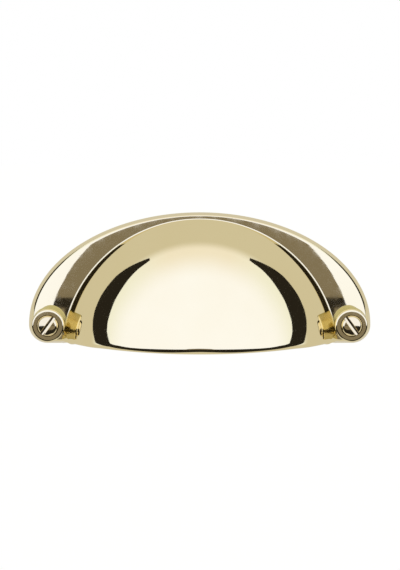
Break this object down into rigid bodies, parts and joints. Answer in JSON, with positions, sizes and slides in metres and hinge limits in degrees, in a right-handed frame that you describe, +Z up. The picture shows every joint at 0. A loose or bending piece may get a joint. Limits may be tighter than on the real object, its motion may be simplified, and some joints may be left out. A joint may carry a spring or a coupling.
{
  "type": "cup pull",
  "caption": "Polished brass cup pull for a drawer: a hollow dome open underneath, with a crescent flange and a screw boss at each end, held from the front by slotted round-head screws.",
  "frame": {"origin": "on the back mounting plane, midway between the two screw axes", "axes": "+X to the user's right along the line of the screws, +Y into the drawer front along the screws, +Z up; the user stands at -Y"},
  "size_m": [0.1012, 0.0353, 0.039],
  "materials": {
    "polished_brass": "cast, mirror polished and lacquered",
    "screw_brass": "turned, polished head and machined thread"
  },
  "bodies": {
    "root": {"cup_hood": "polished_brass", "mounting_screws": "screw_brass"}
  },
  "joints": []
}
